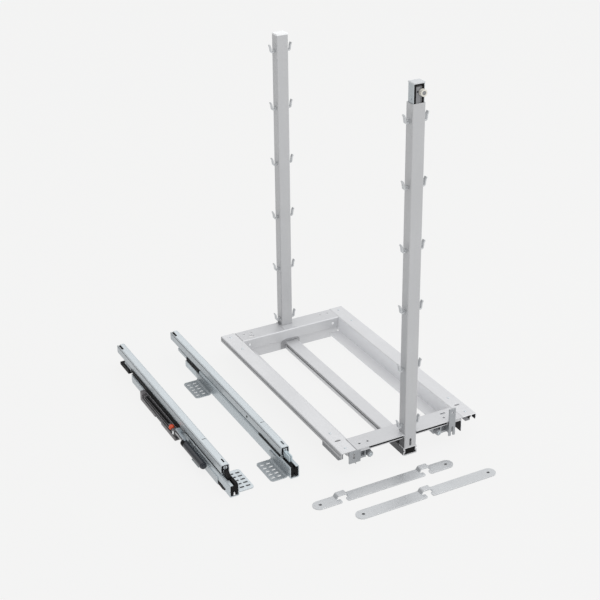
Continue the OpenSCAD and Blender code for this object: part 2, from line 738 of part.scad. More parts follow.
module cabinet_rail() difference() {
    along_y(-cabinet_front, cabinet_rear) difference() {
        polygon(strip([
            [-cabinet_rail_w / 2 + lip + rail_t, cabinet_rail_h - rail_t / 2],
            [-cabinet_rail_w / 2 + rail_t / 2, cabinet_rail_h - rail_t / 2],
            [-cabinet_rail_w / 2 + rail_t / 2, rail_t / 2],
            [cabinet_rail_w / 2 - rail_t / 2, rail_t / 2],
            [cabinet_rail_w / 2 - rail_t / 2, cabinet_rail_h - rail_t / 2],
            [cabinet_rail_w / 2 - lip - rail_t, cabinet_rail_h - rail_t / 2]
        ], rail_t));
        grooves(lower_ball_x, lower_ball_z);
    }
    // Fixing slot near the front end and hole near the rear end
    translate([-cabinet_rail_w / 2 - 1, -cabinet_front + 42, rail_slot_z]) rotate([90, 0, 90])
        linear_extrude(rail_t + 2) slot_2d(30, 5.5);
    rod_x(wall_hole_y, wall_hole_z, cabinet_rail_w / 2 - rail_t - 1, cabinet_rail_w / 2 + 1, 2, small);
    box(-cabinet_rail_w, cabinet_rail_w, cabinet_rear - low_wall_l, cabinet_rear + 1, low_wall_h,
        cabinet_rail_h + 1);
    box(cabinet_rail_w / 2 - rail_t - lip - 1, cabinet_rail_w / 2 - rail_t - eps, -cabinet_front - 1,
        -cabinet_front + front_lip_l, cabinet_rail_h - rail_t - bend, cabinet_rail_h + 1);
}

module cabinet_rail_full() {
    cabinet_rail();
    // Wider front part of the lip on the side away from the feet
    box(-cabinet_rail_w / 2 + rail_t, tongue_x, -cabinet_front, -cabinet_front + front_tongue_l,
        cabinet_rail_h - rail_t, cabinet_rail_h);
}

module middle_rail() {
    along_y(middle_front, middle_rear) difference() {
        union() {
            translate([-lower_head, lower_head_z[0]]) square([2 * lower_head,
                lower_head_z[1] - lower_head_z[0]]);
            translate([-upper_head, upper_head_z[0]]) square([2 * upper_head,
                upper_head_z[1] - upper_head_z[0]]);
            translate([-middle_web / 2, lower_head_z[0]]) square([middle_web,
                upper_head_z[1] - lower_head_z[0]]);
        }
        grooves(lower_ball_x, lower_ball_z);
        grooves(upper_ball_x, upper_ball_z);
        // Folded sheet leaves a slit up the middle of each head
        translate([-0.5, lower_head_z[0] - 1]) square([1, 9]);
        translate([-0.5, upper_head_z[1] - 6]) square([1, 8]);
    }
}

// The lower head ends where the cabinet rail does
module middle_rail_cut() difference() {
    middle_rail();
    box(-cabinet_rail_w, cabinet_rail_w, cabinet_rear + 2, middle_rear + 1, 0, tail_z);
}

tail_z = lower_ball_z + ball_r + 0.3;
top_groove = 0.9;
top_slot = [24, 4.5];
top_slot_x = 3.8;
front_slot = [3, 12];
mark_y = drawer_front + 93;

// hand is 1 where the world's +X side is the foot side
module drawer_rail(hand) difference() {
    along_y(drawer_front, drawer_rear) difference() {
        polygon(strip([
            [-drawer_rail_w / 2 + lip + rail_t, drawer_low + rail_t / 2],
            [-drawer_rail_w / 2 + rail_t / 2, drawer_low + rail_t / 2],
            [-drawer_rail_w / 2 + rail_t / 2, runner_h - rail_t / 2],
            [drawer_rail_w / 2 - rail_t / 2, runner_h - rail_t / 2],
            [drawer_rail_w / 2 - rail_t / 2, drawer_low + rail_t / 2],
            [drawer_rail_w / 2 - lip - rail_t, drawer_low + rail_t / 2]
        ], rail_t));
        grooves(upper_ball_x, upper_ball_z);
        // Shallow grooves along the top edges
        for (sx = [-1, 1]) translate([sx * (drawer_rail_w / 2 - 1.8), runner_h]) rotate(45)
            square(top_groove, center = true);
    }
    // Locating slots at both ends and a narrow slit near the front
    translate([-hand * top_slot_x, drawer_rear - top_slot[0] / 2 + 1,
        runner_h - rail_t - 1]) linear_extrude(rail_t + 2)
        rotate(90) slot_2d(top_slot[0], top_slot[1]);
    translate([hand * 2, drawer_front + 14, runner_h - rail_t - 1]) linear_extrude(rail_t + 2)
        square(front_slot, center = true);
    translate([hand * 1.5, mark_y, runner_h - rail_t - 1]) linear_extrude(rail_t + 2) square([8, 1.8],
        center = true);
}

// Cage strip that wraps round a rail head: dir is 1 for the lower cage and -1 for the upper one
module cage(bx, bz, edge_z, dir) difference() {
    along_y(cage_front, cage_front + cage_l) polygon(strip([
        [-bx, bz + dir * 4],
        [-bx, edge_z],
        [bx, edge_z],
        [bx, bz + dir * 4]
    ], cage_t, 0.3));
    for (k = [0 : ball_count - 1]) rod_x(cage_front + 8 + k * row_step, bz, -bx - 3, bx + 3, ball_r + 0.05,
        small);
}

module balls(bx, bz) for (sx = [-1, 1], k = [0 : ball_count - 1])
    translate([sx * bx, cage_front + 8 + k * row_step, bz]) sphere(ball_r, $fn = 24);

lower_cage_z = rail_t + 0.5 + cage_t / 2;
upper_cage_z = runner_h - rail_t - 0.5 - cage_t / 2;

arm_x = cabinet_rail_w / 2 - rail_t - 0.4;
arm_z = [lower_ball_z + 3, cabinet_rail_h - rail_t - 0.7];

module lower_cage() {
    cage(lower_ball_x, lower_ball_z, lower_cage_z, 1);
    // Guide arms behind the cage, seen above the low rear walls
    for (sx = [-1, 1]) box(min(sx * arm_x, sx * lower_ball_x), max(sx * arm_x, sx * lower_ball_x),
        cage_front + cage_l - 3.5, cabinet_rear - 1, arm_z[0], arm_z[1]);
}
module upper_cage() cage(upper_ball_x, upper_ball_z, upper_cage_z, -1);

foot_bend = 4;
foot_flare = 6;
foot_leaf_top = cabinet_rail_h - 6.5;

// Foot: an upright leaf against the rail's wall and a slotted plate on the floor
module foot(y) difference() {
    union() {
        translate([0, y, 0]) along_y(-foot_l / 2, foot_l / 2) polygon(strip([
            [cabinet_rail_w / 2 + foot_t / 2, foot_leaf_top],
            [cabinet_rail_w / 2 + foot_t / 2, foot_t / 2],
            [cabinet_rail_w / 2 + foot_w, foot_t / 2]
        ], foot_t, foot_bend, 6));
        // Concave flares where the leaf's ends meet the bend
        for (s = [-1, 1]) translate([cabinet_rail_w / 2, y + s * foot_l / 2, 0]) difference() {
            translate([0, s > 0 ? -eps : -foot_flare, foot_bend + foot_t])
                cube([foot_t, foot_flare + eps, foot_leaf_top - foot_bend - foot_t]);
            translate([-1, s * foot_flare, foot_bend + foot_t]) rotate([0, 90, 0])
                cylinder(foot_t + 2, foot_flare, foot_flare, $fn = fine);
        }
    }
    for (k = [0 : foot_slots - 1], row = [0, 1])
        translate([cabinet_rail_w / 2 + foot_w - 8 - row * 12, y + (k - (foot_slots - 1) / 2) * 11, -1])
            linear_extrude(foot_t + 2) slot_2d(foot_slot_l, foot_slot_w);
    // Rounded outer corners
    for (s = [-1, 1]) translate([cabinet_rail_w / 2 + foot_w, y + s * foot_l / 2, -1]) difference() {
        translate([-6, s > 0 ? -6 : 0, 0]) cube([7, 6, foot_t + 2]);
        translate([-6, -s * 6, -1]) cylinder(foot_t + 4, 6, 6, $fn = small);
    }
}

rear_foot_y = cabinet_rear - 95.5;
front_foot_y = -cabinet_front + 39;

// Black end piece on the intermediate rail that fills the cabinet rail's mouth
nose_w = cabinet_rail_w - 2 * rail_t - 0.8;
nose_z = [rail_t + 0.9, cabinet_rail_h - rail_t - 0.4];
nose_y = -cabinet_front + 1.5;
nose_notch = 2.4;
nose_column_z = cabinet_rail_h + 1;
bumper_l = 21;

module mouth_block(top_notch) difference() {
    union() {
        box(-nose_w / 2, nose_w / 2, nose_y, middle_front, nose_z[0], nose_z[1]);
        // Column on the side of the feet
        box(1, nose_w / 2, nose_y, nose_y + 18, nose_z[0] + 4, nose_column_z);
    }
    // Notches in the front face
    along_y(nose_y - 3, nose_y + 6) polygon([[-nose_notch, nose_z[0] - 1], [nose_notch, nose_z[0] - 1],
        [0.4, nose_z[0] + 8],
        [-0.4, nose_z[0] + 8]]);
    if (top_notch) along_y(nose_y - 3, nose_y + 6) polygon([[-nose_notch, nose_column_z + 1],
        [0, nose_z[1] - 6],
        [nose_notch, nose_column_z + 1]]);
}

// Pale stop between the intermediate rail's front end and the drawer rail's mouth
module bumper() difference() {
    box(-upper_head + 0.3, upper_head - 0.3, middle_front - bumper_l, middle_front, nose_column_z + 0.3,
        upper_head_z[1] - 4);
    translate([0, middle_front - bumper_l, nose_column_z]) rotate([35, 0, 0]) box(-5, 5, -9, 0, -5, 20);
    box(-0.6, 0.6, middle_front - bumper_l - 1, middle_front - 8, nose_column_z, upper_head_z[1]);
}

module cabinet_rail_left() color(zinc) at_left() cabinet_rail_full();
module cabinet_rail_right() color(zinc) at_right() cabinet_rail_full();
module feet_left() color(zinc) at_left() for (y = [rear_foot_y, front_foot_y]) foot(y);
module feet_right() color(zinc) at_right() foot(front_foot_y);
module middle_rail_left() color(zinc) at_left() middle_rail_cut();
module middle_rail_right() color(zinc) at_right() middle_rail_cut();
module drawer_rail_left() color(zinc) at_left() drawer_rail(-1);
module drawer_rail_right() color(zinc) at_right() drawer_rail(1);
module lower_cage_left() color(black_plastic) at_left() lower_cage();
module lower_cage_right() color(black_plastic) at_right() lower_cage();
module upper_cage_left() color(black_plastic) at_left() upper_cage();
module upper_cage_right() color(black_plastic) at_right() upper_cage();
module lower_balls_left() color(steel) at_left() balls(lower_ball_x, lower_ball_z);
module lower_balls_right() color(steel) at_right() balls(lower_ball_x, lower_ball_z);
module upper_balls_left() color(steel) at_left() balls(upper_ball_x, upper_ball_z);
module upper_balls_right() color(steel) at_right() balls(upper_ball_x, upper_ball_z);
module nose_cap_left() color(grey_plastic) at_left() bumper();
module nose_cap_right() color(black_plastic) at_right() mouth_block(false);
module front_clip_left() color(black_plastic) at_left() mouth_block(true);

// Soft closing unit on the outer wall of the right-hand runner

leaf_t = 1.5;
damper_in = -cabinet_rail_w / 2 - leaf_t;
damper_x = damper_in - damper_w;
damper_rear = cabinet_rear - 74;
damper_front = damper_rear - damper_l;
damper_z = 1;
damper_high = damper_z + damper_h;
housing_front = damper_front + 30;
housing_t = 2;
thin_wall = 1.2;
outer_wall_h = 6.5;
end_block_l = 13;
end_block_r = 5;
wall_gap = [damper_rear - 108, damper_rear - 78];
cylinder_x = damper_in - cylinder_r - slip;
cylinder_z = damper_high - 3;
cylinder_rear = damper_front - 2;
cylinder_front = cylinder_rear - cylinder_l;
rod_r = 1.5;
rod_in = 14;
bore_depth = catch_travel + 25;

// Thin steel leaf between the housing and the rail, with a tab on the floor
module damper_bracket() color(zinc) at_right() {
    box(damper_in, -cabinet_rail_w / 2, cylinder_front - catch_travel, cabinet_rear - 6, 0, low_wall_h - 1);
    box(damper_in - 8.5, damper_in + eps, cylinder_front + 24, cylinder_front + 54, 0, leaf_t);
}

module end_block_2d() difference() {
    translate([damper_x, damper_rear - end_block_l]) square([damper_w, end_block_l]);
    // Rounded outer corner
    translate([damper_x, damper_rear]) difference() {
        square(2 * end_block_r, center = true);
        translate([end_block_r, -end_block_r]) circle(end_block_r, $fn = fine);
    }
}

// Tray with a rounded end block, a thin wall beside the rail and a low broken wall outside
module damper_housing() color(black_plastic) at_right() difference() {
    union() {
        translate([0, 0, damper_z]) linear_extrude(damper_h) end_block_2d();
        box(damper_x, damper_in, housing_front, damper_rear - end_block_l + eps, damper_z,
            damper_z + housing_t);
        box(damper_in - thin_wall, damper_in, housing_front, damper_rear - end_block_l + eps, damper_z,
            damper_high);
        box(damper_x, damper_x + housing_t, housing_front, damper_rear - end_block_l + eps, damper_z,
            damper_z + outer_wall_h);
    }
    box(damper_x - 1, damper_x + housing_t + eps, wall_gap[0], wall_gap[1], damper_z - 1,
        damper_z + outer_wall_h + 1);
    knob_pocket();
}

core_x = [damper_x + housing_t + 0.5, damper_in - thin_wall - 0.8];
core_y = [housing_front + 6, damper_rear - 20];
core_z = [damper_z + housing_t, damper_high - 1.5];
ridge_z = [damper_high - 6, damper_high - 4.8];
ridge_out = 1.7;

// Core that lies in the tray, carries the rod and has a thin ridge along its outer side
module damper_core() color(grey_plastic) at_right() difference() {
    union() {
        box(core_x[0], core_x[1], core_y[0], core_y[1], core_z[0], core_z[1]);
        box(core_x[0] - ridge_out, core_x[0] + eps, core_y[0], core_y[1], ridge_z[0], ridge_z[1]);
        // Head round the rod
        box(core_x[0] - 1.2, core_x[1], core_y[0], core_y[0] + 10, damper_z + outer_wall_h + 0.5,
            cylinder_z + 3);
    }
    rod_y(cylinder_x, cylinder_z, core_y[0] - 1, housing_front + rod_in, rod_r, small);
    translate([knob_x, knob_y, core_z[0] + 1]) cylinder(damper_h, knob_stem_r + play, knob_stem_r + play,
        $fn = small);
    knob_pocket();
}

knob_x = damper_in - knob_r - 0.9;
knob_y = housing_front + 25;
knob_z = damper_high - 2;
knob_low = knob_z - 5;
knob_stem_r = 1.8;

module knob_pocket() translate([knob_x, knob_y, knob_low - slip])
    cylinder(damper_h, knob_r + 0.4, knob_r + 0.4, $fn = fine);

// Red dome with a flat underside, a screwdriver slot and a stem in the core
module release_knob() color([0.86, 0.16, 0.08]) at_right() {
    difference() {
        translate([knob_x, knob_y, knob_z]) sphere(knob_r, $fn = fine);
        box(knob_x - knob_r - 1, knob_x + knob_r + 1, knob_y - knob_r - 1, knob_y + knob_r + 1,
            knob_z - knob_r - 1, knob_low);
        box(knob_x - knob_r, knob_x + knob_r, knob_y - 0.5, knob_y + 0.5, knob_z + knob_r - 1,
            knob_z + knob_r + 1);
    }
    translate([knob_x, knob_y, core_z[0] + 1.3]) cylinder(knob_z - core_z[0] - 2, knob_stem_r, knob_stem_r,
        $fn = small);
}

module damper_cylinder() color(black_plastic) at_right() difference() {
    union() {
        rod_y(cylinder_x, cylinder_z, cylinder_front + 5, cylinder_rear, cylinder_r);
        rod_y(cylinder_x, cylinder_z, cylinder_front + 2.2, cylinder_front + 5, cylinder_r - 1);
        rod_y(cylinder_x, cylinder_z, cylinder_front, cylinder_front + 2.2, cylinder_r - 3);
        // Flat rib that carries the catch
        box(cylinder_x - 1.5, cylinder_x + 1.8, cylinder_rear - 14, cylinder_rear, cylinder_z, catch_z);
    }
    rod_y(cylinder_x, cylinder_z, cylinder_rear - bore_depth, cylinder_rear + 1, rod_r + play, small);
}

module damper_rod() color(steel) at_right()
    rod_y(cylinder_x, cylinder_z, cylinder_rear - bore_depth + 5, housing_front + rod_in, rod_r, small);

catch_z = cylinder_z + cylinder_r + 0.6;
catch_h = 4.3;
catch_y = cylinder_rear + 33;
catch_x = [cylinder_x - 1.5, damper_in - slip];

// Catch seated on the cylinder's rib: a plate with a long outer horn and a short inner one
module damper_catch() color(zinc) at_right() difference() {
    union() {
        box(catch_x[0], catch_x[1], catch_y - 15, catch_y, catch_z + 1.3, catch_z + catch_h);
        box(catch_x[0], catch_x[0] + 3.3, catch_y - 41, catch_y - 14, catch_z, catch_z + catch_h - 0.5);
        box(catch_x[1] - 1.7, catch_x[1], catch_y - 19, catch_y - 14, catch_z + 1.3, catch_z + catch_h);
    }
    // Tapered tip of the outer horn
    translate([catch_x[0] - 1, catch_y - 41, catch_z + 1.5]) rotate([16, 0, 0]) cube([6, 20, 10]);
}

trigger_x = [damper_in + 0.1, -drawer_rail_w / 2];
trigger_z = [cabinet_rail_h + 0.6, runner_h - 13];

// Peg block on the drawer rail's outer wall beside the catch
module trigger_tab() color(grey_plastic) at_right()
    box(trigger_x[0], trigger_x[1], catch_y - 19, catch_y - 3, trigger_z[0], trigger_z[1]);

stop_x = [-7, 3];
stop_y = [cabinet_rear + 22, middle_rear + 20];
stop_z = rail_t + 2.5;
stop_tail_h = 6;

// Black stop block under the intermediate rail's rear end
module rear_stop() color(black_plastic) at_right() difference() {
    union() {
        box(stop_x[0], stop_x[1], stop_y[0], middle_rear, stop_z, tail_z);
        box(stop_x[0], stop_x[1], middle_rear - eps, stop_y[1], stop_z, stop_z + stop_tail_h);
    }
    rod_x(stop_y[1] - 10, stop_z + stop_tail_h / 2, stop_x[0] - 1, stop_x[1] + 1, 1.8, small);
}

side_rail_left();
side_rail_right();
rear_crossmember();
rear_web_plate();
front_crossmember();
centre_rail();
flange_rivets();
door_bracket_left();
door_bracket_right();
adjuster_block_left();
adjuster_block_right();
adjuster_pins();
lock_clip_left();
lock_clip_right();
adjuster_wheel_left();
adjuster_wheel_right();
rear_upright();
rear_upright_cap();
rear_upright_seat();
rear_upright_screw();
rear_hooks();
front_upright();
front_upright_seat();
front_hooks();
guide_channel();
guide_liner();
guide_block();
guide_pin();
guide_roller();
guide_rivet();
twin_loop_strap();
single_loop_strap();
cabinet_rail_left();
feet_left();
middle_rail_left();
nose_cap_left();
front_clip_left();
drawer_rail_left();
lower_cage_left();
lower_balls_left();
upper_cage_left();
upper_balls_left();
cabinet_rail_right();
feet_right();
middle_rail_right();
nose_cap_right();
drawer_rail_right();
lower_cage_right();
lower_balls_right();
upper_cage_right();
upper_balls_right();
damper_bracket();
damper_housing();
damper_core();
damper_cylinder();
damper_rod();
damper_catch();
release_knob();
trigger_tab();
rear_stop();
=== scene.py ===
"""The CAD nodes keep their shapes and places and only take finishes. The thin extra pieces are drawn
in millimetres in the frame's own axes, and each one rides on the body that carries it.
"""

import json
import math

import bmesh
import bpy
from mathutils import Matrix, Vector


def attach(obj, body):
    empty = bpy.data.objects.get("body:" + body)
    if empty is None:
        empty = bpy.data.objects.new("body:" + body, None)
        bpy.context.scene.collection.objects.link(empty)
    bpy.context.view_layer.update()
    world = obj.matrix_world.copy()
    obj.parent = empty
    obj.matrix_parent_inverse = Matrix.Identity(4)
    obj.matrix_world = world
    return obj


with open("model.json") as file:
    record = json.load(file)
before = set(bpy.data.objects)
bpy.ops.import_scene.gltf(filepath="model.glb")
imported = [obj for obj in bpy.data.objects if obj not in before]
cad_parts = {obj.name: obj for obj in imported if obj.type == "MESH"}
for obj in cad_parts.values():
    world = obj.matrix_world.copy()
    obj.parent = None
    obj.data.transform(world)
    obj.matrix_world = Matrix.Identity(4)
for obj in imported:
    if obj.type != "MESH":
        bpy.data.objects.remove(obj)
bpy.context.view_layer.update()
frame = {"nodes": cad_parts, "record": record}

scene = bpy.context.scene
scene.view_settings.view_transform = "Standard"


def show(name, data):
    """Puts an object with this data into the scene."""
    obj = bpy.data.objects.new(name, data)
    scene.collection.objects.link(obj)
    return obj


# ---------------------------------------------------------------- camera

# The view fitted to the photo, with pixel measures on a picture FRAME_PX wide.
YAW, PITCH, ROLL = math.radians(152.235), math.radians(23.949), math.radians(-0.687)
EYE = Vector((-1.1192, -1.9584, 1.3297))
FOCAL_PX = 1325.3
AXIS_PX = (300.0, 240.0)
FRAME_PX = 600.0
SENSOR_MM = 36.0
CLIP_END = 60.0


def to_frame(v):
    """Turns a direction from the fit's axes (depth, width, up) to the CAD frame's."""
    return Vector((v.y, -v.x, v.z))


def camera_matrix():
    """The camera's place and turn in the CAD frame."""
    cy, sy, cp, sp = math.cos(YAW), math.sin(YAW), math.cos(PITCH), math.sin(PITCH)
    forward = Vector((cy * cp, sy * cp, -sp))
    level = Vector((sy, -cy, 0.0))
    raised = level.cross(forward)
    right = level * math.cos(ROLL) + raised * math.sin(ROLL)
    up = raised * math.cos(ROLL) - level * math.sin(ROLL)
    columns = (to_frame(right), to_frame(up), -to_frame(forward), EYE)
    return Matrix([[column[i] for column in columns] for i in range(3)] + [[0.0, 0.0, 0.0, 1.0]])


def add_camera():
    data = bpy.data.cameras.new("camera")
    data.sensor_fit = "HORIZONTAL"
    data.sensor_width = SENSOR_MM
    data.lens = FOCAL_PX / FRAME_PX * SENSOR_MM
    data.shift_x = (FRAME_PX / 2 - AXIS_PX[0]) / FRAME_PX
    data.shift_y = (AXIS_PX[1] - FRAME_PX / 2) / FRAME_PX
    data.clip_end = CLIP_END
    cam = show("camera", data)
    cam.matrix_world = camera_matrix()
    scene.camera = cam


# ---------------------------------------------------------------- materials


class Graph:
    """Adds nodes to one node tree, which starts empty unless keep is set."""

    def __init__(self, tree, keep=False):
        self.tree = tree
        if not keep:
            tree.nodes.clear()

    def link(self, a, b):
        self.tree.links.new(a, b)

    def feed(self, socket, value):
        """Links an output to the socket, or sets a plain value on it."""
        if hasattr(value, "is_output"):
            self.link(value, socket)
        else:
            socket.default_value = value

    def add(self, kind, **inputs):
        """A node with its sockets fed by name; any other name is one of the node's settings."""
        node = self.tree.nodes.new(kind)
        for key, value in inputs.items():
            socket = node.inputs.get(key.replace("_", " "))
            if socket is None:
                setattr(node, key, value)
            else:
                self.feed(socket, value)
        return node

    def combine(self, kind, operation, a, b):
        """The value of a math node, plain or vector, with two inputs."""
        node = self.add(kind, operation=operation)
        self.feed(node.inputs[0], a)
        self.feed(node.inputs[1], b)
        return node.outputs["Value"]

    def mix(self, factor, a, b):
        """A colour between a and b; each argument is a socket or a value."""
        node = self.add("ShaderNodeMix", data_type="RGBA", blend_type="MIX")
        for index, value in ((0, factor), (6, a), (7, b)):
            self.feed(node.inputs[index], value)
        return node.outputs[2]

    def span(self, value, low, high, a, b):
        """Maps a value from low..high to a..b."""
        node = self.add("ShaderNodeMapRange", Value=value, From_Min=low, From_Max=high, To_Min=a, To_Max=b)
        return node.outputs[0]

    def coordinate(self, kind):
        return self.add("ShaderNodeTexCoord").outputs[kind]

    def find(self, kind):
        return next(n for n in self.tree.nodes if n.type == kind)


# Noise scales per metre, and the depths and widths that all finishes share, in metres.
BROAD_SCALE, MOTTLE_SCALE, STREAK_SCALE = 9.0, 160.0, 60.0
ROUGH_VARY = 0.06
EDGE_RADIUS, EDGE_SAMPLES = 0.0005, 4
BUMP_DEPTH = 0.0003
# An edge counts as worn where the softened normal leaves the flat one: cosines from none to full.
WORN_FROM, WORN_TO = 0.985, 0.80
# A face counts as upright, and takes painted shade or painted light by the side factor, where its normal's
# height falls from the high value to the low one.
PAINTED_FLANK_LOW, PAINTED_FLANK_HIGH = 0.4, 0.8


def noise(g, coord, scale, detail, shift, rough=0.55, stretch=(1, 1, 1)):
    """Noise at a scale per metre on stretched object coordinates."""
    place = g.add("ShaderNodeMapping", Vector=coord, Scale=stretch, Location=(shift, shift * 0.7, -shift))
    node = g.add("ShaderNodeTexNoise", Vector=place.outputs[0], Scale=scale, Detail=detail, Roughness=rough)
    return node.outputs["Fac"]


def opaque(colour, factor=1.0):
    return tuple(min(1.0, c * factor) for c in colour) + (1.0,)


def surface(name, colour, *, metallic=0.0, rough=0.5, tone=0.05, grain=900.0, bump=0.1, streak=None,
            streak_depth=0.0, wear=0.0, wear_colour=None, coat=0.0, specular=0.5, side=1.0):
    """A procedural finish: uneven tone, directional streaks, fine grain, soft worn edges.

    Upright faces take the colour times side: painted shade where side is below one, painted light where it is
    above one.
    """
    m = bpy.data.materials.new(name)
    m.use_nodes = True
    g = Graph(m.node_tree)
    coord = g.coordinate("Object")
    broad = noise(g, coord, BROAD_SCALE, 4.0, shift=3.1)
    fine = noise(g, coord, grain, 2.0, shift=1.7)
    mottle = noise(g, coord, MOTTLE_SCALE, 3.0, shift=7.3)
    dark, light = opaque(colour, 1 - tone), opaque(colour, 1 + tone)
    base = g.mix(g.span(broad, 0.35, 0.65, 0.0, 1.0), dark, light)
    base = g.mix(g.span(mottle, 0.3, 0.7, 0.0, 0.5), base, dark)
    roughness = g.span(mottle, 0.3, 0.7, rough - ROUGH_VARY, rough + ROUGH_VARY)
    height = fine
    if streak:
        lines = noise(g, coord, STREAK_SCALE, 2.0, shift=5.2, rough=0.6, stretch=streak)
        base = g.mix(g.span(lines, 0.3, 0.7, 0.0, 0.6), base, dark)
        height = g.combine("ShaderNodeMath", "ADD", fine, g.span(lines, 0.0, 1.0, 0.0, streak_depth))
    # Painted shade or painted light: upright faces take the colour times side.
    if side != 1.0:
        facing = g.add("ShaderNodeSeparateXYZ", Vector=g.coordinate("Normal"))
        painted_flank_light = g.span(facing.outputs["Z"], PAINTED_FLANK_LOW, PAINTED_FLANK_HIGH, 1.0, 0.0)
        base = g.mix(painted_flank_light, base, opaque(colour, side))
    soft = g.add("ShaderNodeBevel", Radius=EDGE_RADIUS, samples=EDGE_SAMPLES).outputs[0]
    if wear > 0:
        plain = g.add("ShaderNodeNewGeometry").outputs["Normal"]
        bend = g.combine("ShaderNodeVectorMath", "DOT_PRODUCT", soft, plain)
        edge = g.span(bend, WORN_FROM, WORN_TO, 0.0, 1.0)
        patches = g.span(mottle, 0.35, 0.6, 0.3 * wear, wear)
        worn = g.combine("ShaderNodeMath", "MULTIPLY", edge, patches)
        base = g.mix(worn, base, opaque(wear_colour))
    raised = g.add("ShaderNodeBump", Strength=bump, Distance=BUMP_DEPTH, Height=height, Normal=soft)
    shader = g.add("ShaderNodeBsdfPrincipled", Base_Color=base, Metallic=metallic, Roughness=roughness,
                   Normal=raised.outputs[0], Coat_Weight=coat, Specular_IOR_Level=specular)
    g.add("ShaderNodeOutputMaterial", Surface=shader.outputs[0])
    return m


def paint(name, colour, **look):
    return surface(name, colour, grain=900.0, **look)


def moulded(name, colour, **look):
    return surface(name, colour, grain=1200.0, **look)


ALONG_X = (0.25, 6.0, 6.0)
ALONG_Y = (6.0, 0.25, 6.0)
ALONG_Z = (6.0, 6.0, 0.25)
LINER_BLACK = (0.004, 0.004, 0.0045)

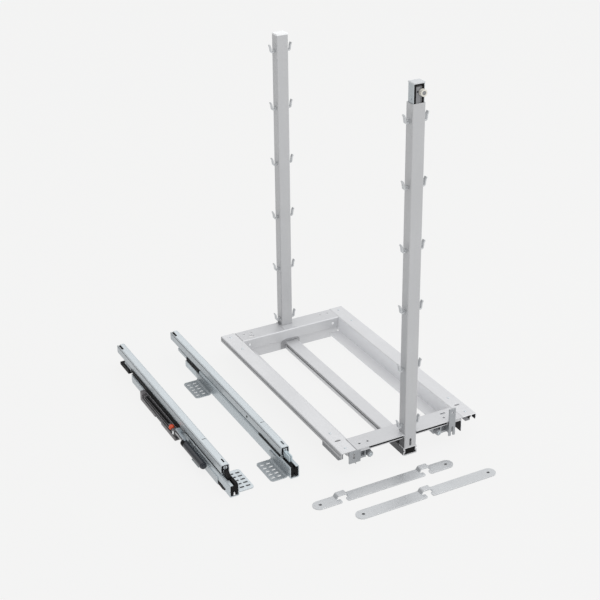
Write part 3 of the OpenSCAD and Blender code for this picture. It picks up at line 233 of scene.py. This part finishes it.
FINISH = {
    # The floor frame and the uprights.
    "frame_steel": paint("frame_paint", (0.57, 0.575, 0.59), metallic=0.3, rough=0.38, tone=0.04,
                         bump=0.05, wear=0.6, wear_colour=(0.84, 0.84, 0.85)),
    # Two lit copies of one paint: the left rail's upright faces take painted shade (side 0.62), the right
    # rail's web painted light (side 1.42).
    "side_steel_left": paint("side_paint_left_shaded_webs", (0.66, 0.665, 0.68), metallic=0.2, rough=0.36,
                             tone=0.05, bump=0.03, streak=ALONG_Y, streak_depth=0.05, side=0.62,
                             wear=0.5, wear_colour=(0.88, 0.88, 0.89)),
    "side_steel_right": paint("side_paint_right_lit_web", (0.62, 0.625, 0.64), metallic=0.15, rough=0.36,
                              tone=0.05, bump=0.03, streak=ALONG_Y, streak_depth=0.05, side=1.42,
                              wear=0.5, wear_colour=(0.88, 0.88, 0.89)),
    "upright_steel": paint("upright_paint", (0.485, 0.49, 0.50), metallic=0.4, rough=0.38, tone=0.03,
                           bump=0.05, streak=ALONG_Z, streak_depth=0.2, wear=0.5,
                           wear_colour=(0.76, 0.76, 0.77)),
    "centre_steel": paint("centre_paint", (0.62, 0.625, 0.64), metallic=0.3, rough=0.38, tone=0.04,
                          bump=0.05, streak=ALONG_Y, streak_depth=0.2, wear=0.4,
                          wear_colour=(0.84, 0.84, 0.85)),
    # Painted shade: a soft grey for the shadows on the rear web round the centre rail's end.
    "painted_soft_shadow": paint("painted_soft_shadow", (0.36, 0.363, 0.375), metallic=0.2, rough=0.42, tone=0.10,
                        bump=0.03, wear=0.2, wear_colour=(0.45, 0.45, 0.46)),
    "shade_steel": paint("shade_steel", (0.22, 0.222, 0.23), rough=0.45, tone=0.10, bump=0.05,
                         wear=0.2, wear_colour=(0.35, 0.35, 0.36), specular=0.3),
    "bright_steel": paint("bright_steel", (0.62, 0.62, 0.63), metallic=0.95, rough=0.24, tone=0.03,
                          bump=0.03, wear=0.2, wear_colour=(0.8, 0.8, 0.8)),
    # Zinc on the runners, feet, brackets and straps.
    # The plain zinc's upright faces take painted shade (side 0.74).
    "zinc": surface("zinc", (0.62, 0.67, 0.70), metallic=0.45, rough=0.38, tone=0.04, grain=500.0,
                    bump=0.015, streak=ALONG_Y, streak_depth=0.05, side=0.74, wear=0.8,
                    wear_colour=(0.88, 0.91, 0.93)),
    "zinc_side": surface("zinc_side", (0.50, 0.55, 0.58), metallic=0.5, rough=0.36, tone=0.06,
                         grain=500.0, bump=0.015, streak=ALONG_Y, streak_depth=0.05, wear=0.8,
                         wear_colour=(0.85, 0.88, 0.90)),
    "zinc_foot": surface("zinc_foot", (0.36, 0.39, 0.41), metallic=0.6, rough=0.36, tone=0.10,
                         grain=700.0, bump=0.04, wear=0.9, wear_colour=(0.70, 0.73, 0.75)),
    "zinc_dark": surface("zinc_dark", (0.36, 0.375, 0.39), metallic=0.6, rough=0.36, tone=0.10,
                         grain=700.0, bump=0.05, wear=0.7, wear_colour=(0.70, 0.71, 0.72)),
    "zinc_strap": surface("zinc_strap", (0.56, 0.575, 0.59), metallic=0.6, rough=0.32, tone=0.05,
                          grain=500.0, bump=0.015, streak=ALONG_X, streak_depth=0.05, wear=0.9,
                          wear_colour=(0.90, 0.90, 0.91)),
    # Mouldings.
    "black_plastic": moulded("black_plastic", LINER_BLACK, rough=0.55, tone=0.10, bump=0.06, wear=0.2,
                             wear_colour=(0.02, 0.02, 0.022), specular=0.14),
    # Painted shade: a dark grey for the sheets, lines and discs that stand for shade under the front plate,
    # in the centre rail's grooves and in holes and slots.
    "painted_shade_grey": moulded("painted_shade_grey", (0.075, 0.076, 0.08), rough=0.50, tone=0.15, bump=0.05,
                             wear=0.2, wear_colour=(0.12, 0.12, 0.12), specular=0.3),
    "damper_shell": moulded("damper_shell", (0.15, 0.142, 0.148), rough=0.40, tone=0.12, bump=0.08,
                            wear=0.8, wear_colour=(0.30, 0.29, 0.30), specular=0.45),
    "damper_core": moulded("damper_core", (0.12, 0.115, 0.12), rough=0.42, tone=0.12, bump=0.08,
                           wear=0.8, wear_colour=(0.22, 0.21, 0.22), specular=0.4),
    "damper_barrel": moulded("damper_barrel", (0.014, 0.018, 0.026), rough=0.28, tone=0.12, bump=0.04,
                             wear=0.5, wear_colour=(0.20, 0.22, 0.25), specular=0.8),
    "catch_plastic": moulded("catch_plastic", (0.22, 0.26, 0.29), rough=0.30, tone=0.10, bump=0.04,
                             wear=0.8, wear_colour=(0.50, 0.55, 0.58), coat=0.3),
    "grey_plastic": moulded("grey_plastic", (0.21, 0.215, 0.225), rough=0.45, tone=0.06, bump=0.06,
                            wear=0.4, wear_colour=(0.36, 0.36, 0.37)),
    "pale_plastic": moulded("pale_plastic", (0.44, 0.52, 0.56), rough=0.30, tone=0.08, bump=0.04,
                            wear=0.6, wear_colour=(0.75, 0.81, 0.84), coat=0.3),
    "cream_plastic": moulded("cream_plastic", (0.66, 0.64, 0.58), rough=0.38, tone=0.03, bump=0.04,
                             wear=0.3, wear_colour=(0.80, 0.78, 0.72)),
    "white_plastic": moulded("white_plastic", (0.84, 0.85, 0.86), rough=0.36, tone=0.02, bump=0.04,
                             wear=0.2, wear_colour=(0.92, 0.92, 0.92)),
    "red_plastic": moulded("red_plastic", (0.62, 0.075, 0.022), rough=0.33, tone=0.08, bump=0.04,
                           wear=0.3, wear_colour=(0.80, 0.22, 0.12)),
}

# A node has the finish of its material slot, unless it is named here.
SLOTS = {s["node"]: s["material_slot"] for s in frame["record"]["subparts"]}
WEARERS = {
    "upright_steel": ("rear_upright", "front_upright"),
    "centre_steel": ("centre_rail",),
    "side_steel_left": ("side_rail_left",),
    "side_steel_right": ("side_rail_right",),
    "zinc_strap": ("twin_loop_strap", "single_loop_strap", "rear_hooks", "front_hooks"),
    "zinc_side": ("cabinet_rail_left", "cabinet_rail_right"),
    "zinc_foot": ("feet_left",),
    "zinc_dark": ("adjuster_wheel_left", "adjuster_wheel_right", "adjuster_block_left",
                  "adjuster_block_right", "door_bracket_left", "door_bracket_right"),
    "damper_shell": ("damper_housing",),
    "damper_core": ("damper_core",),
    "damper_barrel": ("damper_cylinder",),
    "catch_plastic": ("damper_catch",),
    "pale_plastic": ("nose_cap_left",),
    "cream_plastic": ("guide_roller",),
    "grey_plastic": ("guide_pin",),
}
OWN = {node: finish for finish, nodes in WEARERS.items() for node in nodes}

# The share of the guide liner's height at which its bright crown starts and is full.
CROWN_LOW, CROWN_HIGH = 0.972, 0.976
CROWN_METAL = (0.62, 0.64, 0.66, 1.0)


def crown_material():
    """The liner's black with a bright metal crown over the top of its height."""
    m = surface("liner_crown", LINER_BLACK, tone=0.10, grain=1200.0, bump=0.05, specular=0.14)
    g = Graph(m.node_tree, keep=True)
    shader = g.find("BSDF_PRINCIPLED")
    place = g.add("ShaderNodeSeparateXYZ", Vector=g.coordinate("Generated"))
    crown = g.span(place.outputs["Z"], CROWN_LOW, CROWN_HIGH, 0.0, 1.0)
    black = shader.inputs["Base Color"].links[0].from_socket
    g.link(g.mix(crown, black, CROWN_METAL), shader.inputs["Base Color"])
    g.link(g.span(crown, 0.0, 1.0, 0.0, 0.5), shader.inputs["Metallic"])
    return m


def dress_nodes():
    """Every carried-over node takes its finish in all its material slots."""
    crown = crown_material()
    for name, obj in frame["nodes"].items():
        m = crown if name == "guide_liner" else FINISH[OWN.get(name, SLOTS[name])]
        if not obj.material_slots:
            obj.data.materials.append(m)
        for slot in obj.material_slots:
            slot.material = m


# ---------------------------------------------------------------- mesh tools

MM = 0.001
SHARP_ANGLE = 0.5
BEVEL_SEGMENTS = 2
LATHE_STEPS = 28

# Where a point (u, v) of a section, pushed w along an axis, lies in X, Y and Z.
PLACE = {
    "X": lambda u, v, w: (w, u, v),
    "Y": lambda u, v, w: (u, w, v),
    "Z": lambda u, v, w: (u, v, w),
}


def mesh_data(name, mesh):
    """Turns a working mesh into mesh data and frees it."""
    data = bpy.data.meshes.new(name)
    mesh.to_mesh(data)
    mesh.free()
    return data


def piece(name, body, finish, mesh, bevel=0.0):
    """Softens the edges of a mesh given in millimetres and hangs it on a body as an object."""
    if bevel > 0:
        sharp = [e for e in mesh.edges if len(e.link_faces) == 2 and e.calc_face_angle(0.0) > SHARP_ANGLE]
        bmesh.ops.bevel(mesh, geom=sharp, offset=bevel, segments=BEVEL_SEGMENTS, profile=0.5, affect="EDGES")
    bmesh.ops.recalc_face_normals(mesh, faces=mesh.faces)
    bmesh.ops.scale(mesh, vec=(MM, MM, MM), verts=mesh.verts)
    obj = show(name, mesh_data(name, mesh))
    obj.data.materials.append(FINISH[finish])
    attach(obj, body)


def prism(outline, axis, low, high, mesh=None):
    """An outline in the two other axes, in alphabetical order, pushed from low to high along one."""
    mesh = mesh or bmesh.new()
    ends = [[mesh.verts.new(PLACE[axis](u, v, w)) for u, v in outline] for w in (low, high)]
    mesh.faces.new(ends[0])
    mesh.faces.new(list(reversed(ends[1])))
    for i in range(len(outline)):
        j = (i + 1) % len(outline)
        mesh.faces.new((ends[0][j], ends[0][i], ends[1][i], ends[1][j]))
    return mesh


def lathe(profile, centre, axis):
    """A profile of (radius, distance) turned about an axis through the centre."""
    mesh = bmesh.new()
    rings = []
    for radius, along in profile:
        ring = []
        for k in range(LATHE_STEPS):
            t = 2 * math.pi * k / LATHE_STEPS
            x, y, z = PLACE[axis](radius * math.cos(t), radius * math.sin(t), along)
            ring.append(mesh.verts.new((centre[0] + x, centre[1] + y, centre[2] + z)))
        rings.append(ring)
    for a, b in zip(rings, rings[1:]):
        for k in range(LATHE_STEPS):
            n = (k + 1) % LATHE_STEPS
            mesh.faces.new((a[k], a[n], b[n], b[k]))
    mesh.faces.new(rings[0])
    mesh.faces.new(list(reversed(rings[-1])))
    return mesh


def rect(u0, u1, v0, v1):
    return [(u0, v0), (u1, v0), (u1, v1), (u0, v1)]


def shifted(outline, du, dv=0.0):
    return [(u + du, v + dv) for u, v in outline]


def mirrored(outline):
    return [(-u, v) for u, v in reversed(outline)]


def add_prisms(rows):
    """Rows of name, body, finish, outline, axis, low, high and bevel."""
    for name, body, finish, outline, axis, low, high, bevel in rows:
        piece(name, body, finish, prism(outline, axis, low, high), bevel)


def add_bars(x, rows):
    """Rows of name, body, finish, section about the runner's middle, start, end and bevel."""
    add_prisms((name, body, finish, shifted(section, x), "Y", start, end, bevel)
               for name, body, finish, section, start, end, bevel in rows)


# ---------------------------------------------------------------- pieces of the floor frame

STIFFENER_SHADOWS = (("stiffener_shadow_left", -84.0, -13.5), ("stiffener_shadow_right", 13.5, 80.5))
RAIL_GROOVES = (("groove_shade", -12.7, 7.9, 11.3), ("edge_shade", -14.42, 13.5, 14.3))
WEB_HOLES = (("left", -97.5), ("right", 97.5))
WEB_HOLE_Z = 33.0
ADJUSTERS = (("left", -82.0), ("right", 63.0))
ADJUSTER_Z = 24.5


def add_frame_pieces():
    """Sheets, bands and lines of painted shade at the front end, on the centre rail and on the rear web, a
    black band on the top guide, white discs of painted light in the web's holes and painted shade in the
    adjuster wheels' hubs.
    """
    add_prisms((
        # Painted shade: a black sheet on the right web's inner face under the front plate.
        ("web_shade_sheet", "kit", "black_plastic",
         [(-247, 14), (-213, 14), (-211, 17), (-211, 42), (-231.5, 42), (-232.5, 33.4), (-247, 33.4)],
         "X", 110.4, 111.35, 0.15),
        # Painted shade: a black sheet under the right rail's top flange at the front end.
        ("flange_shade_sheet", "kit", "black_plastic",
         [(122, 43.2), (141.3, 43.2), (141.3, 31.5), (134.5, 41), (131, 41), (128, 35.5), (122.5, 41)],
         "Y", -248.5, -228, 0.3),
        # Painted shadow: a dark sheet on the centre rail's left side under the front plate.
        ("centre_rail_shade_sheet", "kit", "painted_shade_grey",
         [(-248.5, 1.2), (-190, 1.2), (-188, 3), (-188, 15.2), (-248.5, 15.2)],
         "X", -14.45, -14.05, 0.1),
        # Painted shadow: a dark sheet on the front upright's left face under the front plate.
        ("upright_shade_sheet", "kit", "painted_shade_grey",
         [(-249, 16.6), (-231, 16.6), (-230.2, 17.6), (-230.2, 43.1), (-245.6, 43.1), (-246.2, 38),
          (-249, 36.8)],
         "X", -13.0, -12.55, 0.1),
        # Painted shadow: soft grey patches on the rear web plate and the web round the centre rail's end.
        ("rail_soft_shadow", "kit", "painted_soft_shadow",
         [(-24, 1.5), (17, 1.5), (20, 5), (20, 16), (17, 20), (-19, 20), (-24, 15)],
         "Y", 212.9, 213.45, 0.1),
        ("web_soft_shadow", "kit", "painted_soft_shadow",
         [(-19, 21.6), (15, 21.6), (15, 23.0), (12, 24.6), (-14, 25.4), (-19, 23.5)],
         "Y", 208.6, 208.95, 0.1),
        # Painted shade: a dark line along the left rail's outer lip.
        ("lip_shade_line", "kit", "shade_steel",
         [(-143.3, 39.2), (-143.03, 39.2), (-143.03, 40.5), (-143.2, 40.6), (-143.3, 40.4)],
         "Y", -246, 246, 0.05),
        ("guide_band", "top_guide", "black_plastic", rect(-9.4, -5.6, -248.05, -247.78),
         "Z", 624.0, 695.5, 0.1),
    ))
    # Painted shadow: black strips over the top of the front stiffener, under the front plate's overhang.
    for name, a, b in STIFFENER_SHADOWS:
        band = [(a, 38.6), (a + 2, 37.6), (b - 2, 37.6), (b, 38.6), (b, 43.2), (a, 43.2)]
        piece(name, "kit", "black_plastic", prism(band, "Y", -246.5, -246.05), 0.1)
    for name, x, low, high in RAIL_GROOVES:
        line = [(x, low), (x + 0.4, low), (x + 0.4, high), (x, high), (x - 0.1, (low + high) / 2)]
        piece(name, "kit", "painted_shade_grey", prism(line, "Y", -184, 207), 0.05)
    # Painted light: white discs in the web's holes stand for the bright background seen through them.
    plug = [(0.6, 208.4), (2.4, 208.5), (2.85, 208.9), (2.85, 210.2), (0.6, 210.4)]
    for side, x in WEB_HOLES:
        piece("web_hole_light_" + side, "kit", "white_plastic", lathe(plug, (x, 0.0, WEB_HOLE_Z), "Y"))
    # Painted shade: a black disc in each adjuster wheel's hex recess.
    hub = [(0.3, -247.05), (2.9, -247.05), (2.9, -247.3), (2.2, -247.5), (0.3, -247.4)]
    for side, x in ADJUSTERS:
        piece("wheel_recess_shade_" + side, side + "_adjuster", "black_plastic", lathe(hub, (x, 0.0, ADJUSTER_Z), "Y"))


def add_collar():
    """A weld collar on the rear crossmember, open behind, round the rear upright's foot."""
    inner, outer = 12.8, 15.4
    front, arms, back = 213.0, 229.2, 249.6
    mesh = bmesh.new()
    for outline in (rect(-outer, outer, front, arms), rect(-outer, -inner, arms, back),
                    rect(inner, outer, arms, back)):
        prism(outline, "Z", 45.02, 45.9, mesh)
    piece("upright_collar", "kit", "frame_steel", mesh, 0.4)


# ---------------------------------------------------------------- pieces of the straps

# Middles of the straps' raised loops and of the straps, with each end hole's distance from it.
LOOPS = (("twin_loop_left", -175.05, -310.0), ("twin_loop_right", -6.95, -310.0),
         ("single_loop", -40.0, -368.0))
STRAPS = (("twin_strap", -91.0, -310.0), ("single_strap", -40.0, -368.0))
END_HOLE = 127.5


def add_strap_details():
    """A dark disc of painted shade low in each end hole, and a lip at each side of each loop's open front."""
    lip = [(5.2, -10.2), (7.0, -11.9), (10.4, -11.9), (10.4, -1.8), (7.0, -1.8), (5.2, -3.5)]
    for name, x, y in LOOPS:
        for end, outline in (("left", mirrored(lip)), ("right", lip)):
            piece("%s_lip_%s" % (name, end), "kit", "zinc_strap",
                  prism(shifted(outline, x, y), "Z", 0.05, 1.95), 0.3)
    # Painted shade: a dark disc low in each strap end hole.
    disc = [(0.5, 0.2), (2.3, 0.2), (2.72, 0.5), (2.72, 1.1), (1.6, 1.3), (0.5, 1.2)]
    for name, x, y in STRAPS:
        for end, hand in (("left", -1), ("right", 1)):
            piece("%s_washer_%s" % (name, end), "kit", "painted_shade_grey",
                  lathe(disc, (x + hand * END_HOLE, y, 0.0), "Z"))


# ---------------------------------------------------------------- pieces of the runners

LEFT_X, RIGHT_X = -217.5, -334.5
# The slotted leaf of the right runner's front foot: 2 rows of 5 slots.
FOOT_ROW_X, FOOT_ROW_STEP, FOOT_ROWS = RIGHT_X + 34.0, -12.0, 2
FOOT_SLOT_Y, FOOT_SLOT_STEP, FOOT_SLOTS = -198.0, 11.0, 5


def add_runner_pieces():
    """What both runners have: a plug in the mouth, pads of painted shade in the top slots, a line of painted
    shade on the top edge, strips of painted shade in the gap between the rails and a sheet of painted shade
    in the side slot.
    """
    plug = [(-6.2, 28), (-3.8, 28), (-3.8, 40.9), (3.8, 40.9), (3.8, 28), (6.2, 28), (6.2, 42.2),
            (-6.2, 42.2)]
    # Painted shade: a dark line along the drawer rail's top bend edge.
    line = [(-8.3, 41.4), (-8.03, 41.4), (-8.03, 42.3), (-8.2, 42.4), (-8.3, 42.2)]
    # Painted shade: black strips on the intermediate rail, seen through the gap between the cabinet and
    # drawer rails.
    gap_shade = [(-2.15, 21.0), (-1.75, 21.0), (-1.75, 30.0), (-2.0, 30.4), (-2.15, 30.0)]
    slot = [(-190, 3.2), (-156, 3.2), (-154.5, 6), (-156, 8.8), (-190, 8.8), (-191.5, 6)]
    for side, x, hand in (("left", LEFT_X, -1), ("right", RIGHT_X, 1)):
        drawer, middle = side + "_drawer", side + "_intermediate"
        add_bars(x, (
            ("mouth_plug_" + side, drawer, "black_plastic", plug, -178.6, -170, 0.2),
            ("edge_shade_line_" + side, drawer, "shade_steel", line, -176, 318, 0.05),
            ("gap_shade_outer_" + side, middle, "black_plastic", gap_shade, -176, 288, 0.05),
            ("gap_shade_inner_" + side, middle, "black_plastic", mirrored(gap_shade), -176, 288, 0.05),
        ))
        # Painted shade: black pads in the drawer rail's top slots, over the dark hollow below them.
        for name, cx, cy, wide, deep, low, high in (
                ("rear", -3.8, 309.0, 3.8, 20.0, 42.3, 43.2),
                ("front", hand * 2.0, -165.0, 2.6, 11.6, 42.6, 43.7),
                ("mark", hand * 1.5, -86.0, 7.6, 1.5, 42.6, 43.95)):
            pad = shifted(rect(-wide / 2, wide / 2, -deep / 2, deep / 2), x + cx, cy)
            piece("slot_inlay_%s_%s" % (name, side), drawer, "black_plastic", prism(pad, "Z", low, high), 0.1)
        # Painted shade: a black sheet inside the cabinet rail's side slot.
        low, high = sorted((x - hand * 7.42, x - hand * 7.17))
        piece("side_slot_shade_" + side, "kit", "black_plastic", prism(slot, "X", low, high), 0.05)


def add_left_details():
    """The left runner's band of painted shade in the gap over its cabinet rail, a disc of painted shade in
    the hole of its foot, and a screw.
    """
    # Painted shade: a black band in the gap between the drawer rail and the cabinet rail.
    band = [(-9.6, 24.2), (-8.4, 24.2), (-8.4, 27.6), (-8.7, 28.0), (-9.3, 28.0), (-9.6, 27.6)]
    add_bars(LEFT_X, (("wall_gap_shadow_left", "kit", "black_plastic", band, -176, -92, 0.15),))
    # Painted shade: a black disc in the hole of the foot's leaf.
    plug = [(0.4, -0.15), (1.9, -0.12), (2.1, 0.1), (1.6, 0.2), (0.4, 0.15)]
    piece("leaf_hole_shade_left", "kit", "black_plastic", lathe(plug, (LEFT_X - 10.68, 176.0, 8.0), "X"))
    screw = [(0.5, -0.9), (1.5, -0.7), (2.0, 0.0), (2.0, 0.4), (1.0, 0.5)]
    piece("drawer_screw_left", "left_drawer", "black_plastic",
          lathe(screw, (LEFT_X - 8.35, -41.0, 34.5), "X"))


def core_skin(low, high):
    return [(-19.3, low), (-19.05, low), (-19.05, high), (-19.2, high + 0.1), (-19.3, high)]


def add_right_details():
    """The right runner's mouth, painted shade in the gaps along its walls and over its soft closing unit,
    that unit's rims, skins, ring and pin, and painted shade in the slots of its foot.
    """
    x = RIGHT_X
    add_bars(x, (
        ("mouth_key", "right_intermediate", "white_plastic",
         [(-1.7, 2.6), (1.7, 2.6), (0.6, 8.5), (-0.6, 8.5)], -214.4, -213.4, 0.2),
        # Painted shade: a black line along the drawer wall's lower edge, in the gap over the cabinet rail.
        ("drawer_wall_shade_line", "right_drawer", "black_plastic",
         [(-8.3, 26.2), (-8.03, 26.2), (-8.03, 28.4), (-8.2, 28.6), (-8.3, 28.3)], -176, -26, 0.05),
        # Painted shade: a black band in the gap between the drawer wall and the cabinet rail.
        ("wall_gap_shadow_right", "kit", "black_plastic",
         [(-10.35, 24.2), (-8.35, 24.2), (-8.35, 26.8), (-8.8, 27.4), (-10.1, 27.4), (-10.35, 27.0)],
         -1.5, 242, 0.15),
        ("wall_tab", "kit", "zinc",
         [(-10.4, 17.2), (-9.15, 17.2), (-9.15, 24.6), (-9.8, 25.0), (-10.4, 24.4)], -70, -63, 0.15),
        # Painted shade: a black strip over the damper housing, in the gap below the rail wall.
        ("housing_gap_shade", "kit", "black_plastic",
         [(-10.4, 18.1), (-9.15, 18.1), (-9.15, 23.6), (-9.5, 24.3), (-10.4, 24.0)], -2, 172, 0.15),
        ("housing_rim_outer", "kit", "grey_plastic", rect(-21.3, -19.8, 7.55, 7.9), 4, 156, 0.1),
        ("housing_rim_inner", "kit", "grey_plastic", rect(-11.5, -10.6, 18.05, 18.4), -2, 156, 0.1),
        ("core_skin_low", "kit", "black_plastic", core_skin(8.2, 11.5), 14, 146, 0.05),
        ("core_skin_high", "kit", "black_plastic", core_skin(13.7, 16.2), 14, 146, 0.05),
        ("core_skin_top", "kit", "black_plastic", rect(-18.3, -13.4, 16.55, 16.8), 34, 146, 0.08),
    ))
    add_prisms((
        ("mouth_block_top", "right_intermediate", "black_plastic",
         [(-197.5, 25.4), (-181, 25.4), (-181, 36), (-188, 36), (-195, 32), (-197.5, 29)],
         "X", x - 3.2, x + 2.6, 0.5),
        ("rail_pad_right", "kit", "black_plastic",
         [(-198, 7.5), (-150, 7.5), (-155, 3.0), (-165, 0.9), (-186, 0.9), (-194, 3.0)],
         "X", x - 9.55, x - 9.05, 0.2),
    ))
    ring = [(5.0, -47.5), (6.55, -47.4), (6.74, -46.8), (6.74, -38.6), (6.65, -37.9), (5.0, -37.8)]
    piece("cylinder_ring", "soft_close", "black_plastic", lathe(ring, (x - 17.4, 0.0, 15.0), "Y"))
    pin = [(0.6, 0.0), (2.2, 0.5), (2.6, 1.6), (2.6, 4.6), (1.9, 6.4), (0.7, 7.0)]
    piece("housing_pin", "kit", "white_plastic", lathe(pin, (x - 19.4, 5.5, 10.2), "Z"))
    pad = [(-4.0, -2.1), (4.0, -2.1), (4.3, 0.0), (4.0, 2.1), (-4.0, 2.1), (-4.3, 0.0)]
    for k in range(FOOT_SLOTS):
        for row in range(FOOT_ROWS):
            outline = shifted(pad, FOOT_ROW_X + row * FOOT_ROW_STEP, FOOT_SLOT_Y + k * FOOT_SLOT_STEP)
            piece("slot_shade_%d_%d" % (k, row), "kit", "painted_shade_grey", prism(outline, "Z", 0.15, 0.9), 0.1)


# ---------------------------------------------------------------- stage and light

FLOOR_HALF = 20.0
FLOOR_DROP = 0.0004
# The floor is mostly its own glow, as white as the photo's ground, with a little lit paper in it.
FLOOR_GLOW = 0.93
GLOW_COLOUR = (0.903, 0.903, 0.900, 1.0)

# The sky's strength rises from low to high toward this direction.
SKY_TOWARD = Vector((0.66, -0.42, 0.62)).normalized()
SKY_LOW, SKY_HIGH = 0.42, 1.25
KEY_PLACE, KEY_AIM = Vector((1.2, -1.2, 2.8)), Vector((0.0, 0.0, 0.1))
KEY_SIZE, KEY_WATTS = 1.6, 22.0


def floor_material():
    """Matt paper mixed with its own even glow."""
    m = surface("floor_paper", (0.80, 0.80, 0.80), rough=0.9, tone=0.004, grain=300.0, bump=0.02,
                specular=0.0)
    g = Graph(m.node_tree, keep=True)
    target = g.find("OUTPUT_MATERIAL").inputs["Surface"]
    paper = target.links[0].from_socket
    glow = g.add("ShaderNodeEmission", Color=GLOW_COLOUR, Strength=1.0)
    blend = g.add("ShaderNodeMixShader")
    for socket, value in zip(blend.inputs, (FLOOR_GLOW, paper, glow.outputs[0])):
        g.feed(socket, value)
    g.link(blend.outputs[0], target)
    m.cycles.emission_sampling = "NONE"
    return m


def add_floor():
    mesh = bmesh.new()
    bmesh.ops.create_grid(mesh, x_segments=8, y_segments=8, size=FLOOR_HALF)
    floor = show("floor", mesh_data("floor", mesh))
    floor.location = (0.0, 0.0, -FLOOR_DROP)
    floor.data.materials.append(floor_material())


def add_sky():
    world = bpy.data.worlds.new("studio")
    scene.world = world
    world.use_nodes = True
    g = Graph(world.node_tree)
    toward = g.combine("ShaderNodeVectorMath", "DOT_PRODUCT", g.coordinate("Generated"), SKY_TOWARD)
    ramp = g.add("ShaderNodeMapRange", Value=toward, From_Min=-0.7, From_Max=0.9, To_Min=SKY_LOW,
                 To_Max=SKY_HIGH, interpolation_type="SMOOTHSTEP")
    sky = g.add("ShaderNodeBackground", Color=(1.0, 1.0, 1.0, 1.0), Strength=ramp.outputs[0])
    g.add("ShaderNodeOutputWorld", Surface=sky.outputs[0])


def add_key():
    """A wide, weak lamp from the front right, without shadows of its own."""
    key = bpy.data.lights.new("key", "AREA")
    key.shape = "RECTANGLE"
    key.size = key.size_y = KEY_SIZE
    key.energy = KEY_WATTS
    key.use_shadow = False
    lamp = show("key", key)
    lamp.location = KEY_PLACE
    lamp.rotation_euler = (KEY_AIM - KEY_PLACE).to_track_quat("-Z", "Y").to_euler()


add_camera()
dress_nodes()
add_frame_pieces()
add_collar()
add_strap_details()
add_runner_pieces()
add_left_details()
add_right_details()
add_floor()
add_sky()
add_key()
